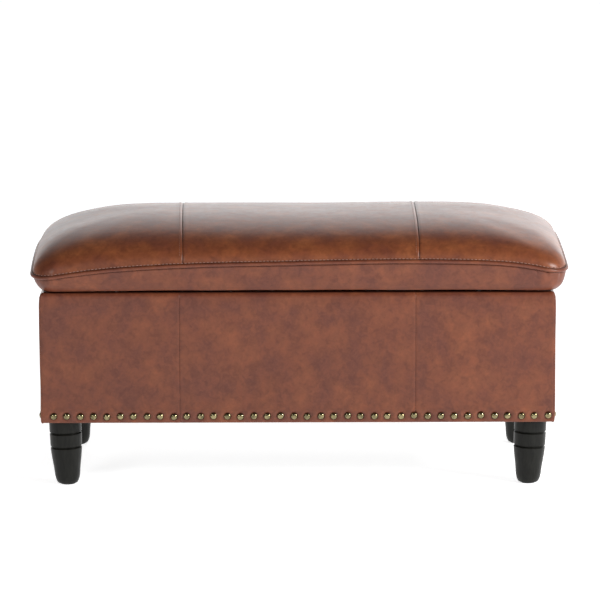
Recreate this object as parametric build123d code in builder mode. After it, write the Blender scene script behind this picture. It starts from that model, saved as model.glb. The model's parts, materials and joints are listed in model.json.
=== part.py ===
from build123d import *
from math import cos, hypot, pi, radians, sin
import os

# An upholstered storage bench: a leather-covered wooden box on four turned legs, with a padded lid
# that hinges up at the back and is limited by two slotted stay arms.
# Millimetres, +Z up. X runs along the bench and the front faces -Y. The origin is on the floor,
# under the middle of the bench.

os.makedirs("parts", exist_ok=True)

# ---- Driving dimensions ----

bench_length = 980.0  # over the lid's piping
bench_depth = 480.0  # over the lid's piping
bench_height = 487.0  # floor to the top of the crown

box_length = 938.0  # over the leather
box_depth = 438.0
box_bottom = 122.5  # underside of the leather that turns under the walls
rim_top = 362.0  # top of the leather on the rim
rim_outer_radius = 9.0
rim_inner_radius = 3.0

leather_t = 1.2
padding_t = 3.0
panel_t = 15.0
wall_t = 2 * leather_t + padding_t + panel_t  # leather outside to leather inside
rim_turn_down = 27.0  # leather folded over the rim and down the inside
cover_seam_x = 215.0  # seams on the front and on the crown, either side of the middle

base_panel_t = 9.0
base_panel_z = 146.0  # underside
corner_block_side = 90.0
cleat_width = 20.0
cleat_chamfer = 1.0
panel_edge_radius = 1.0
lining_t = 1.0
dust_cover_t = 0.6
dust_cover_inset = 10.0
dust_cover_hole_gap = 0.6  # round each leg bolt
through = 1.0  # cutters run past the faces they cut

leg_inset = 41.5  # leg axis to the box's leather faces
leg_top = box_bottom - dust_cover_t
leg_lean = 2.0  # degrees, foot towards the middle of the bench
leg_radius = 29.5
leg_grooves = (96.5, 70.0)  # heights of the two turned grooves
groove_depth = 2.2
groove_half_width = 2.2
leg_second_groove_step = 0.5  # the leg is slimmer at its second groove
leg_overlength = 6.0  # turned longer, then cut flat at both ends
leg_foot_outline = (  # radius and height on the leg's axis, down to below the floor
    (27.0, 49.0),
    (24.1, 27.0),
    (21.7, 10.0),
    (18.5, 3.0),
    (14.0, -1.0),
)
glide_t = 2.5
glide_radius = 14.0
glide_pin_radius = 1.5
glide_pin_length = 9.0
glide_chamfer = 0.8
bolt_radius = 4.0
bolt_in_leg = 38.0
bolt_top = 143.0
bolt_tip_chamfer = 1.5  # the wood-screw end
bolt_top_chamfer = 0.8
t_nut_flange_radius = 11.0
t_nut_flange_t = 1.5
t_nut_barrel_radius = 5.4
t_nut_barrel_length = 10.5
thread_clearance = 0.05

nail_head_radius = 6.6
nail_head_height = 3.6
nail_shank_radius = 0.9
nail_length = 13.0
nail_z = 133.0
nail_wobble = 0.9  # nails are driven by hand
nail_wobble_phases = (0.4, 2.2, 1.3, 3.1)  # front, rear, left, right
front_nail_count = 38
front_nail_start = -446.0
front_nail_pitch = 24.4
side_nail_count = 18
side_nail_pitch = 24.1

lid_bottom = 365.0  # underside of the leather that turns under the lid board
crown_base = 412.0  # height of the piping
piping_radius = 3.0
piping_corner_radius = 45.0
piping_gap = 0.05
band_radius = 22.0  # how the boxing band curls under the board
crown_length_power = 3.3  # superellipse powers of the crown's arches: flatter along the bench,
crown_depth_power = 2.3  # and rounder from front to back
crown_arch_steps = 20
band_turn_under = 25.0
board_t = 15.0
board_edge_gap = 1.0  # board to the inside of the band
board_corner_radius = 19.0
foam_clearance = 0.3
lid_lining_t = 0.8
lid_lining_inset = 17.0  # from the band's bottom edge

bumper_radius = 4.5
bumper_t = 2.9
bumper_chamfer = 0.5
bumper_rim_offset = 12.7  # from the box's leather face
front_bumper_x = 330.0
side_bumper_y = -60.0

hinge_x = 290.0
hinge_axis_y = 223.5
hinge_axis_z = 363.5
hinge_length = 70.0
hinge_leaf_t = 1.4
hinge_leaf_inner_y = 199.5
knuckle_radius = 3.5
knuckle_count = 5
knuckle_gap = 0.5
hinge_pin_radius = 1.5
running_clearance = 0.05
hinge_screw_y = 205.5
hinge_screw_spacing = 25.0
knuckle_notch_gap = 0.4

screw_radius = 1.6
screw_head_radius = 3.2
screw_head_rim_t = 0.1
screw_head_t = 1.3
screw_tip = 3.0
screw_cross_length = 2.6
screw_cross_width = 0.6
screw_cross_depth = 0.7
hinge_screw_length = 15.0
stay_screw_length = 11.0
screw_hole_clearance = 0.1

stay_reach = 110.0  # hinge axis to the lid pivot, and also to the stud on the box
stay_pivot_drop = 13.5  # lid pivot below the hinge axis, lid closed
stay_stud_angle = 22.0  # at the hinge axis, from the lid pivot to the stud, lid closed
lid_open_angle = 85.0
arm_t = 2.5
arm_width = 18.0
arm_face_x = 438.9  # the arm's face nearest the middle
arm_chamfer = 0.4
arm_bracket_gap = 0.6
slot_half_width = 3.9
slot_end_play = 2.0
slot_stop_play = 0.4
stud_radius = 3.4
stud_head_radius = 6.2
stud_head_t = 2.4
stud_shoulder_radius = 5.5
stud_plate_t = 2.0
stud_plate_width = 30.0
stud_plate_height = 46.0
stud_plate_corner_radius = 5.0
stay_gap = 0.4
bracket_t = 2.0
bracket_width = 32.0
bracket_inner_x = 416.0
bracket_tab_radius = 9.0
rivet_radius = 2.9
rivet_head_radius = 5.0
rivet_head_t = 1.5
bracket_screw_x = 424.0
bracket_screw_spacing = 18.0
stud_screw_spacing = 34.0

# ---- Worked out from the driving dimensions ----

half_length = box_length / 2
half_depth = box_depth / 2
panel_outer = leather_t + padding_t  # from the leather face
panel_inner = wall_t - leather_t
panel_top = rim_top - leather_t - padding_t
panel_bottom = box_bottom + leather_t
inner_half_length = half_length - panel_inner
inner_half_depth = half_depth - panel_inner
base_top = base_panel_z + base_panel_t
lining_floor_top = base_top + lining_t
leg_x = half_length - leg_inset
leg_y = half_depth - leg_inset
leg_points = [(sx * leg_x, sy * leg_y) for sx in (-1, 1) for sy in (-1, 1)]

face_half_length = bench_length / 2 - 2 * piping_radius - piping_gap
face_half_depth = bench_depth / 2 - 2 * piping_radius - piping_gap
face_corner_radius = piping_corner_radius - piping_radius - piping_gap
crown_height = bench_height - crown_base
board_bottom = lid_bottom + leather_t
board_top = board_bottom + board_t
lid_edge_half_length = face_half_length - band_radius
lid_edge_half_depth = face_half_depth - band_radius
board_half_length = lid_edge_half_length - board_edge_gap
board_half_depth = lid_edge_half_depth - board_edge_gap

pivot_y = hinge_axis_y - (stay_reach**2 - stay_pivot_drop**2) ** 0.5
pivot_z = hinge_axis_z - stay_pivot_drop
pivot_angle = Vector(hinge_axis_y - pivot_y, stay_pivot_drop).get_angle(Vector(1, 0))
stud_angle = radians(pivot_angle + stay_stud_angle)
stud_y = hinge_axis_y - stay_reach * cos(stud_angle)
stud_z = hinge_axis_z - stay_reach * sin(stud_angle)
stud_near = 2 * stay_reach * sin(radians(stay_stud_angle / 2))
stud_far = 2 * stay_reach * sin(radians((stay_stud_angle + lid_open_angle) / 2))
lining_face_x = half_length - panel_inner - lining_t

# Each wall: a plane whose x axis points into the box, whose y axis is up and whose z axis runs
# along the wall, starting on the leather's outer face; and the wall's length.
WALLS = {
    "front": (Plane(origin=(0, -half_depth, 0), x_dir=(0, 1, 0), z_dir=(1, 0, 0)), box_length),
    "rear": (Plane(origin=(0, half_depth, 0), x_dir=(0, -1, 0), z_dir=(-1, 0, 0)), box_length),
    "left": (Plane(origin=(-half_length, 0, 0), x_dir=(1, 0, 0), z_dir=(0, -1, 0)), box_depth),
    "right": (Plane(origin=(half_length, 0, 0), x_dir=(-1, 0, 0), z_dir=(0, 1, 0)), box_depth),
}


def finish(piece, label):
    """Name a finished piece and write it to its own STEP file."""
    piece.part.label = label
    export_step(piece.part, f"parts/{label}.step")


def wall_plan(wall):
    """Horizontal plane at the wall: x along it, y into the box."""
    plane, _ = WALLS[wall]
    return Plane(origin=plane.origin, x_dir=plane.z_dir, z_dir=(0, 0, 1))


def mitre(wall, depth):
    """Plan of a wall whose ends are mitred at 45 degrees."""
    half = WALLS[wall][1] / 2
    with BuildSketch(wall_plan(wall)) as plan:
        with BuildLine():
            Polyline((-half, 0), (half, 0), (half - depth, depth), (-half + depth, depth), close=True)
        make_face()
    return plan.sketch


def wall_section(outer, inner, bottom, top, outer_radius, inner_radius):
    """Upright section of one layer of a wall, rounded along both top edges."""
    with BuildSketch() as section:
        with BuildLine():
            Polyline((outer, bottom), (inner, bottom), (inner, top), (outer, top), close=True)
        make_face()
        fillet(section.vertices().group_by(Axis.Y)[-1].sort_by(Axis.X)[0], outer_radius)
        fillet(section.vertices().group_by(Axis.Y)[-1].sort_by(Axis.X)[-1], inner_radius)
    return section.sketch


def leather_outline(inset):
    """The wall's outline, or the same outline inset by the leather."""
    return wall_section(
        inset,
        wall_t - inset,
        box_bottom + inset,
        rim_top - inset,
        rim_outer_radius - inset,
        rim_inner_radius - inset,
    )


def panel_outline():
    """The wooden panel's outline, under the padding."""
    top_radius = rim_outer_radius - panel_outer
    return wall_section(
        panel_outer, panel_inner, panel_bottom, panel_top, top_radius, panel_edge_radius
    )


def slab(size_x, size_y, bottom, top, corner=None):
    """A flat sheet or board, centred on the bench, between two heights."""
    with BuildPart() as sheet:
        with BuildSketch(Plane.XY.offset(bottom)):
            if corner is None:
                Rectangle(size_x, size_y)
            else:
                RectangleRounded(size_x, size_y, corner)
        extrude(amount=top - bottom)
    return sheet.part


def hinge_screw_points():
    """Plan positions of the hinge screws, three to a hinge."""
    steps = (-hinge_screw_spacing, 0, hinge_screw_spacing)
    return [(side * hinge_x + step, hinge_screw_y) for side in (-1, 1) for step in steps]


def holes_up(points, bottom, depth, radius):
    """Upright drilled holes as solids to be cut away."""
    with BuildPart() as drills:
        with BuildSketch(Plane.XY.offset(bottom)):
            with Locations(*points):
                Circle(radius)
        extrude(amount=depth)
    return drills.part


screw_hole_radius = screw_radius + screw_hole_clearance
box_hinge_drills = holes_up(
    hinge_screw_points(), rim_top - hinge_screw_length, hinge_screw_length + 1, screw_hole_radius
)


# ---- Walls: panels, padding, leather, lining ----


def make_panel(wall):
    """Wooden wall panel. Front and rear run the full length, and the sides butt between them."""
    plane, length = WALLS[wall]
    butted = wall in ("left", "right")
    end_gap = panel_inner if butted else panel_outer
    with BuildPart() as panel:
        with BuildSketch(plane):
            add(panel_outline())
        extrude(amount=length / 2 - end_gap, both=True)
        if not butted:
            ends = panel.faces().filter_by(Axis.X)
            fillet([end.edges().sort_by(Axis.Z)[-1] for end in ends], rim_outer_radius - panel_outer)
        if wall == "rear":
            add(box_hinge_drills, mode=Mode.SUBTRACT)
        if butted:
            add(stud_screw_drills(wall), mode=Mode.SUBTRACT)
    finish(panel, f"{wall}_panel")


def make_padding(wall):
    """Thin foam glued to the outside of a panel and over its top edge."""
    plane, length = WALLS[wall]
    with BuildPart() as padding:
        with BuildSketch(plane):
            add(leather_outline(leather_t))
            with BuildLine():
                Polyline(
                    (panel_outer, box_bottom),
                    (wall_t, box_bottom),
                    (wall_t, panel_top),
                    (panel_outer, panel_top),
                    close=True,
                )
            make_face(mode=Mode.SUBTRACT)
        extrude(amount=length / 2, both=True)
        add(extrude(mitre(wall, wall_t), amount=rim_top, mode=Mode.PRIVATE), mode=Mode.INTERSECT)
        if wall == "rear":
            add(box_hinge_drills, mode=Mode.SUBTRACT)
    finish(padding, f"{wall}_padding")


def make_cover(wall):
    """Leather over a wall: up the face, over the rim, down inside, and under the bottom edge."""
    plane, length = WALLS[wall]
    with BuildPart() as cover:
        with BuildSketch(plane):
            add(leather_outline(0))
            add(leather_outline(leather_t), mode=Mode.SUBTRACT)
            with BuildLine():
                Polyline(
                    (panel_inner, panel_bottom),
                    (wall_t, panel_bottom),
                    (wall_t, rim_top - rim_turn_down),
                    (panel_inner, rim_top - rim_turn_down),
                    close=True,
                )
            make_face(mode=Mode.SUBTRACT)
        extrude(amount=length / 2, both=True)
        add(extrude(mitre(wall, wall_t), amount=rim_top, mode=Mode.PRIVATE), mode=Mode.INTERSECT)
        if wall == "rear":
            add(box_hinge_drills, mode=Mode.SUBTRACT)
    return cover


def make_front_covers():
    """The front's leather is three pieces, seamed either side of the middle."""
    whole = make_cover("front").part
    spans = {
        "left": (-half_length, -cover_seam_x),
        "centre": (-cover_seam_x, cover_seam_x),
        "right": (cover_seam_x, half_length),
    }
    for name, (start, end) in spans.items():
        with BuildPart() as piece:
            add(whole)
            with BuildSketch(Plane.YZ.offset(start)):
                Rectangle(2 * box_depth, 2 * bench_height)
            extrude(amount=end - start, mode=Mode.INTERSECT)
        finish(piece, f"cover_front_{name}")


def make_wall_lining(wall):
    """Fabric-covered card inside a wall, from the floor lining up to the turned-down leather."""
    plane, length = WALLS[wall]
    run = length / 2 - panel_inner
    if wall in ("left", "right"):
        run = run - lining_t
    height = rim_top - rim_turn_down - lining_floor_top
    with BuildPart() as lining:
        with BuildSketch(plane):
            with Locations((panel_inner + lining_t / 2, lining_floor_top + height / 2)):
                Rectangle(lining_t, height)
        extrude(amount=run, both=True)
        if wall in ("left", "right"):
            add(stud_screw_drills(wall), mode=Mode.SUBTRACT)
    finish(lining, f"lining_{wall}")


def stud_screw_points():
    """Heights and depths of the stud plate's two screws, on a plane that looks along X."""
    return [(stud_y, stud_z - stud_screw_spacing / 2), (stud_y, stud_z + stud_screw_spacing / 2)]


def stud_screw_drills(wall):
    """Holes for the stud plate's screws, through the lining and into a side panel."""
    side = -1 if wall == "left" else 1
    with BuildPart() as drills:
        with BuildSketch(Plane.YZ.offset(side * (lining_face_x - stud_plate_t))):
            with Locations(*stud_screw_points()):
                Circle(screw_hole_radius)
        extrude(amount=side * stay_screw_length)
    return drills.part


# ---- Base, corner blocks and dust cover ----


def make_base():
    """Plywood floor of the box."""
    with BuildPart() as base:
        add(slab(2 * inner_half_length, 2 * inner_half_depth, base_panel_z, base_top))
    finish(base, "base_panel")


def make_floor_lining():
    """Fabric-covered card on the floor of the box."""
    with BuildPart() as lining:
        add(slab(2 * inner_half_length, 2 * inner_half_depth, base_top, lining_floor_top))
    finish(lining, "lining_floor")


def make_corner_block(side_x, side_y, label):
    """Three-cornered block in a bottom corner, drilled for the leg's bolt and T-nut."""
    x0 = side_x * inner_half_length
    y0 = side_y * inner_half_depth
    with BuildPart() as block:
        with BuildSketch(Plane.XY.offset(panel_bottom)):
            with BuildLine():
                Polyline(
                    (x0, y0),
                    (x0 - side_x * corner_block_side, y0),
                    (x0, y0 - side_y * corner_block_side),
                    close=True,
                )
            make_face()
        extrude(amount=base_panel_z - panel_bottom)
        with Locations((side_x * leg_x, side_y * leg_y, base_panel_z)):
            CounterBoreHole(
                radius=t_nut_barrel_radius + thread_clearance,
                counter_bore_radius=t_nut_flange_radius + thread_clearance,
                counter_bore_depth=t_nut_flange_t,
            )
    finish(block, f"{label}_corner_block")


def make_cleat(side_y, label):
    """Strip that carries the base panel between two corner blocks."""
    length = 2 * (inner_half_length - corner_block_side)
    with BuildPart() as cleat:
        with BuildSketch(Plane.XY.offset(panel_bottom)):
            with Locations((0, side_y * (inner_half_depth - cleat_width / 2))):
                Rectangle(length, cleat_width)
        extrude(amount=base_panel_z - panel_bottom)
        chamfer(cleat.edges().filter_by(Axis.X).group_by(Axis.Z)[0], cleat_chamfer)
    finish(cleat, f"{label}_cleat")


def make_dust_cover():
    """Thin black cloth stapled under the box, with a hole for each leg bolt."""
    size_x = box_length - 2 * dust_cover_inset
    size_y = box_depth - 2 * dust_cover_inset
    with BuildPart() as dust_cover:
        add(slab(size_x, size_y, leg_top, box_bottom))
        add(
            holes_up(
                leg_points,
                leg_top - through,
                dust_cover_t + 2 * through,
                bolt_radius + dust_cover_hole_gap,
            ),
            mode=Mode.SUBTRACT,
        )
    finish(dust_cover, "dust_cover")


# ---- Nails ----


def nail_form():
    """One upholstery nail with its head's underside at z = 0 and its point downwards."""
    rim_z = nail_head_height
    with BuildPart() as nail:
        with BuildSketch(Plane.XZ):
            with BuildLine():
                ThreePointArc(
                    (0, rim_z),
                    (nail_head_radius * sin(pi / 4), rim_z * cos(pi / 4)),
                    (nail_head_radius, 0),
                )
                Polyline(
                    (nail_head_radius, 0),
                    (nail_shank_radius, 0),
                    (nail_shank_radius, -nail_length + 3 * nail_shank_radius),
                    (0, -nail_length),
                    (0, rim_z),
                )
            make_face()
        revolve(axis=Axis.Z)
    return nail.part


def make_nails(wall, count, start, pitch, phase):
    """A row of nails along the bottom of one wall, with small wobbles from hand driving."""
    plane, _ = WALLS[wall]
    nail = nail_form()
    spots = []
    for i in range(count):
        along = start + i * pitch + 0.7 * nail_wobble * sin(2.9 * i + 2 * phase)
        height = nail_z + nail_wobble * sin(1.9 * i + phase) * cos(0.7 * i)
        point = plane.from_local_coords(Vector(0, height, along))
        out = -plane.x_dir
        spots.append(Plane(origin=point, x_dir=plane.z_dir, z_dir=out))
    with BuildPart() as nails:
        with Locations(*[Location(spot) for spot in spots]):
            add(nail)
    finish(nails, f"nails_{wall}")


# ---- Legs ----


def leg_profile():
    """Half outline of the turned leg: x is the radius, y the height above the leg's top."""
    top = leg_overlength
    points = [(0, top), (leg_radius, top)]
    for height in leg_grooves:
        y = height - leg_top
        r = leg_radius if height == leg_grooves[0] else leg_radius - leg_second_groove_step
        points += [(r, y + groove_half_width), (r - groove_depth, y), (r, y - groove_half_width)]
    below = [(r, z - leg_top) for r, z in leg_foot_outline]
    return points, below


def make_leg(side_x, side_y, label):
    """Turned wooden leg that leans a little, cut flat at the box and at its glide."""
    x0 = side_x * leg_x
    y0 = side_y * leg_y
    lean = radians(leg_lean)
    up = Vector(side_x * sin(lean), 0, cos(lean))
    out = Vector(cos(lean), 0, -side_x * sin(lean))
    plane = Plane(origin=(x0, y0, leg_top), x_dir=out, z_dir=(0, -1, 0))
    upper, lower = leg_profile()
    with BuildPart() as leg:
        with BuildSketch(plane):
            with BuildLine():
                Polyline(*upper)
                Spline(upper[-1], *lower)
                Polyline(lower[-1], (0, lower[-1][1]), (0, upper[0][1]))
            make_face()
        revolve(axis=Axis((x0, y0, leg_top), tuple(up)))
        add(slab(bench_length, bench_depth, glide_t, leg_top), mode=Mode.INTERSECT)
        with Locations((x0, y0, leg_top)):
            Hole(radius=bolt_radius + thread_clearance, depth=bolt_in_leg + 2)
        foot_x = foot_centre_x(side_x)
        add(
            holes_up([(foot_x, y0)], glide_t, glide_pin_length, glide_pin_radius + thread_clearance),
            mode=Mode.SUBTRACT,
        )
    finish(leg, f"{label}_leg")


def foot_centre_x(side_x):
    """Where a leaning leg's axis meets its glide."""
    return side_x * (leg_x - (leg_top - glide_t) * sin(radians(leg_lean)))


def make_glides():
    """Plastic glides, each with a pin driven into the foot."""
    with BuildPart() as glides:
        for sx, sy in [(-1, -1), (-1, 1), (1, -1), (1, 1)]:
            x = foot_centre_x(sx)
            y = sy * leg_y
            with BuildSketch(Plane.XY):
                with Locations((x, y)):
                    Circle(glide_radius)
            extrude(amount=glide_t)
            with BuildSketch(Plane.XY.offset(glide_t)):
                with Locations((x, y)):
                    Circle(glide_pin_radius)
            extrude(amount=glide_pin_length - 1)
        chamfer(glides.faces().group_by(Axis.Z)[0].edges(), glide_chamfer)
    finish(glides, "foot_glides")


def make_leg_bolts():
    """Hanger bolts that join the legs to the T-nuts."""
    start = leg_top - bolt_in_leg
    with BuildPart() as bolts:
        with BuildSketch(Plane.XY.offset(start)):
            with Locations(*leg_points):
                Circle(bolt_radius)
        extrude(amount=bolt_top - start)
        chamfer(bolts.edges().group_by(Axis.Z)[0], bolt_tip_chamfer)
        chamfer(bolts.edges().group_by(Axis.Z)[-1], bolt_top_chamfer)
    finish(bolts, "leg_bolts")


def make_t_nuts():
    """T-nuts let into the corner blocks from above."""
    flange_bottom = base_panel_z - t_nut_flange_t
    with BuildPart() as nuts:
        with BuildSketch(Plane.XY.offset(flange_bottom)):
            with Locations(*leg_points):
                Circle(t_nut_flange_radius)
        extrude(amount=t_nut_flange_t)
        with BuildSketch(Plane.XY.offset(flange_bottom - t_nut_barrel_length)):
            with Locations(*leg_points):
                Circle(t_nut_barrel_radius)
        extrude(amount=t_nut_barrel_length)
        with BuildSketch(Plane.XY.offset(flange_bottom - t_nut_barrel_length)):
            with Locations(*leg_points):
                Circle(bolt_radius + thread_clearance)
        extrude(amount=t_nut_barrel_length + t_nut_flange_t, mode=Mode.SUBTRACT)
    finish(nuts, "leg_t_nuts")


# ---- Lid ----


def lid_lower_form(inset):
    """The lid below its piping, curling under along its bottom edge."""
    with BuildPart() as form:
        with BuildSketch(Plane.XY.offset(lid_bottom + inset)):
            RectangleRounded(
                2 * (face_half_length - inset),
                2 * (face_half_depth - inset),
                face_corner_radius - inset,
            )
        extrude(amount=crown_base - lid_bottom - inset)
        fillet(form.faces().sort_by(Axis.Z)[0].edges(), band_radius - inset)
    return form.part


def arch(half_span, height, superellipse_power):
    """Upright outline of the crown: a superellipse arch standing on the piping's height."""
    steps = crown_arch_steps
    n = superellipse_power
    curve = []
    for i in range(steps + 1):
        x = cos(pi - pi * i / steps)
        z = max(sin(pi * i / steps), 0.0)
        reach = (abs(x) ** n + z**n) ** (-1 / n)
        curve.append((half_span * reach * x, crown_base + height * reach * z))
    with BuildSketch() as outline:
        with BuildLine():
            Spline(*curve)
            Line(curve[-1], curve[0])
        make_face()
    return outline.sketch


def crown_form(inset):
    """The lid above its piping: two crossing arches over a round-cornered plan."""
    height = crown_height - inset
    with BuildPart() as form:
        with BuildSketch(Plane.XY.offset(crown_base)):
            RectangleRounded(
                2 * (face_half_length - inset),
                2 * (face_half_depth - inset),
                face_corner_radius - inset,
            )
        extrude(amount=crown_height)
        with BuildSketch(Plane.XZ):
            add(arch(face_half_length - inset, height, crown_length_power))
        extrude(amount=bench_depth, both=True, mode=Mode.INTERSECT)
        with BuildSketch(Plane.YZ):
            add(arch(face_half_depth - inset, height, crown_depth_power))
        extrude(amount=bench_length, both=True, mode=Mode.INTERSECT)
    return form.part


def make_lid_board():
    """Plywood board under the foam, drilled for the hinges and the stay brackets."""
    with BuildPart() as board:
        add(
            slab(
                2 * board_half_length,
                2 * board_half_depth,
                board_bottom,
                board_top,
                board_corner_radius,
            )
        )
        add(lid_hinge_drills(), mode=Mode.SUBTRACT)
        add(bracket_drills(), mode=Mode.SUBTRACT)
    finish(board, "lid_board")


def lid_hinge_drills():
    """Holes up into the lid for the hinge screws."""
    start = hinge_axis_z
    return holes_up(hinge_screw_points(), start, hinge_screw_length + 1, screw_hole_radius)


def bracket_screw_points():
    """Plan positions of the lid bracket screws, two to a bracket."""
    steps = (-bracket_screw_spacing / 2, bracket_screw_spacing / 2)
    return [(side * bracket_screw_x, pivot_y + step) for side in (-1, 1) for step in steps]


def bracket_drills():
    """Holes up into the lid for the stay bracket screws."""
    start = lid_bottom - lid_lining_t - bracket_t
    return holes_up(bracket_screw_points(), start, stay_screw_length + 2, screw_hole_radius)


def make_lid_foam():
    """Foam on the board and round its edges."""
    inset = leather_t + foam_clearance
    with BuildPart() as foam:
        add(lid_lower_form(inset))
        add(crown_form(inset))
        add(
            slab(
                2 * (board_half_length + foam_clearance),
                2 * (board_half_depth + foam_clearance),
                lid_bottom,
                board_top,
                board_corner_radius + foam_clearance,
            ),
            mode=Mode.SUBTRACT,
        )
    finish(foam, "lid_foam")


def make_lid_covers():
    """The crown's leather is three pieces, seamed in line with the seams on the front."""
    with BuildPart() as whole:
        add(crown_form(0))
        add(crown_form(leather_t), mode=Mode.SUBTRACT)
    spans = {
        "left": (-bench_length / 2, -cover_seam_x),
        "centre": (-cover_seam_x, cover_seam_x),
        "right": (cover_seam_x, bench_length / 2),
    }
    for name, (start, end) in spans.items():
        with BuildPart() as piece:
            add(whole.part)
            with BuildSketch(Plane.YZ.offset(start)):
                Rectangle(2 * bench_depth, 2 * bench_height)
            extrude(amount=end - start, mode=Mode.INTERSECT)
        finish(piece, f"lid_cover_{name}")


def make_lid_band():
    """Leather boxing band, from the piping down and under the edge of the board."""
    opening_x = 2 * (lid_edge_half_length - band_turn_under)
    opening_y = 2 * (lid_edge_half_depth - band_turn_under)
    with BuildPart() as band:
        add(lid_lower_form(0))
        add(lid_lower_form(leather_t), mode=Mode.SUBTRACT)
        add(slab(opening_x, opening_y, lid_bottom - 1, board_bottom), mode=Mode.SUBTRACT)
        add(lid_hinge_drills(), mode=Mode.SUBTRACT)
    finish(band, "lid_band")


def make_piping():
    """Piping sewn between the crown and the band, all round the lid."""
    half_x = bench_length / 2 - piping_radius
    half_y = bench_depth / 2 - piping_radius
    with BuildPart() as piping:
        with BuildLine(Plane.XY.offset(crown_base)) as path:
            FilletPolyline(
                (half_x, -half_y),
                (half_x, half_y),
                (-half_x, half_y),
                (-half_x, -half_y),
                close=True,
                radius=piping_corner_radius,
            )
        with BuildSketch(Plane(origin=path.line @ 0, z_dir=path.line % 0)):
            Circle(piping_radius)
        sweep()
    finish(piping, "lid_piping")


def make_lid_lining():
    """Cloth that covers the underside of the lid board."""
    size_x = 2 * (lid_edge_half_length - lid_lining_inset)
    size_y = 2 * (lid_edge_half_depth - lid_lining_inset)
    with BuildPart() as lining:
        add(slab(size_x, size_y, lid_bottom - lid_lining_t, lid_bottom))
        add(bracket_drills(), mode=Mode.SUBTRACT)
    finish(lining, "lid_lining")


def make_bumpers():
    """Soft stops on the rim that the closed lid rests on."""
    side_x = half_length - bumper_rim_offset
    spots = []
    for side in (-1, 1):
        spots.append((side * front_bumper_x, -half_depth + bumper_rim_offset))
        spots.append((side * side_x, side_bumper_y))
    with BuildPart() as bumpers:
        with BuildSketch(Plane.XY.offset(rim_top)):
            with Locations(*spots):
                Circle(bumper_radius)
        extrude(amount=bumper_t)
        chamfer(bumpers.edges().group_by(Axis.Z)[-1], bumper_chamfer)
    finish(bumpers, "rim_bumpers")


# ---- Hinges ----


def knuckle_spans(first):
    """X spans of every other knuckle of both hinges, starting with knuckle number first."""
    step = hinge_length / knuckle_count
    spans = []
    for side in (-1, 1):
        start = side * hinge_x - hinge_length / 2
        for i in range(first, knuckle_count, 2):
            near = start + i * step + knuckle_gap / 2
            spans.append((near, near + step - knuckle_gap))
    return spans


def make_hinge_leaves(label, first_knuckle, leaf_bottom, screw_face):
    """Two hinge leaves with their knuckles, one leaf for each hinge."""
    notch_y = hinge_axis_y - knuckle_radius - knuckle_notch_gap
    leaf_mid_y = (hinge_leaf_inner_y + notch_y) / 2
    upward = screw_face > leaf_bottom
    with BuildPart() as leaves:
        with BuildSketch(Plane.XY.offset(leaf_bottom)):
            with Locations((-hinge_x, leaf_mid_y), (hinge_x, leaf_mid_y)):
                Rectangle(hinge_length, notch_y - hinge_leaf_inner_y)
        extrude(amount=hinge_leaf_t)
        for near, far in knuckle_spans(first_knuckle):
            with BuildSketch(Plane.YZ.offset(near)):
                with Locations((hinge_axis_y, hinge_axis_z)):
                    Circle(knuckle_radius)
                with Locations(((notch_y + hinge_axis_y) / 2, leaf_bottom + hinge_leaf_t / 2)):
                    Rectangle(hinge_axis_y - notch_y + 1, hinge_leaf_t)
                with Locations((hinge_axis_y, hinge_axis_z)):
                    Circle(hinge_pin_radius + running_clearance, mode=Mode.SUBTRACT)
            extrude(amount=far - near)
        turn = (0, 0, 0) if upward else (180, 0, 0)
        for x, y in hinge_screw_points():
            with Locations(Location((x, y, screw_face), turn)):
                CounterSinkHole(
                    radius=screw_hole_radius,
                    counter_sink_radius=screw_head_radius + screw_hole_clearance,
                    depth=2 * hinge_leaf_t,
                )
    finish(leaves, label)


def make_hinge_pins():
    """One pin through the knuckles of each hinge."""
    with BuildPart() as pins:
        for side in (-1, 1):
            with BuildSketch(Plane.YZ.offset(side * hinge_x - hinge_length / 2)):
                with Locations((hinge_axis_y, hinge_axis_z)):
                    Circle(hinge_pin_radius)
            extrude(amount=hinge_length)
    finish(pins, "hinge_pins")


def screw_form(length):
    """Countersunk wood screw: its head's face is at z = 0 and it points down."""
    with BuildPart() as screw:
        with BuildSketch(Plane.XZ):
            with BuildLine():
                Polyline(
                    (0, 0),
                    (screw_head_radius, 0),
                    (screw_head_radius, -screw_head_rim_t),
                    (screw_radius, -screw_head_t),
                    (screw_radius, -length + screw_tip),
                    (0, -length),
                    close=True,
                )
            make_face()
        revolve(axis=Axis.Z)
        with BuildSketch(Plane.XY):
            Rectangle(screw_cross_length, screw_cross_width)
            Rectangle(screw_cross_width, screw_cross_length)
        extrude(amount=-screw_cross_depth, mode=Mode.SUBTRACT)
    return screw.part


def make_screws(label, length, places):
    """A set of identical wood screws, each at its own place."""
    screw = screw_form(length)
    with BuildPart() as screws:
        with Locations(*places):
            add(screw)
    finish(screws, label)


# ---- Stays ----


def stay_direction():
    """Unit direction from the lid pivot to the stud, with the lid closed, as (y, z)."""
    dy = stud_y - pivot_y
    dz = stud_z - pivot_z
    run = hypot(dy, dz)
    return dy / run, dz / run


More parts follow.
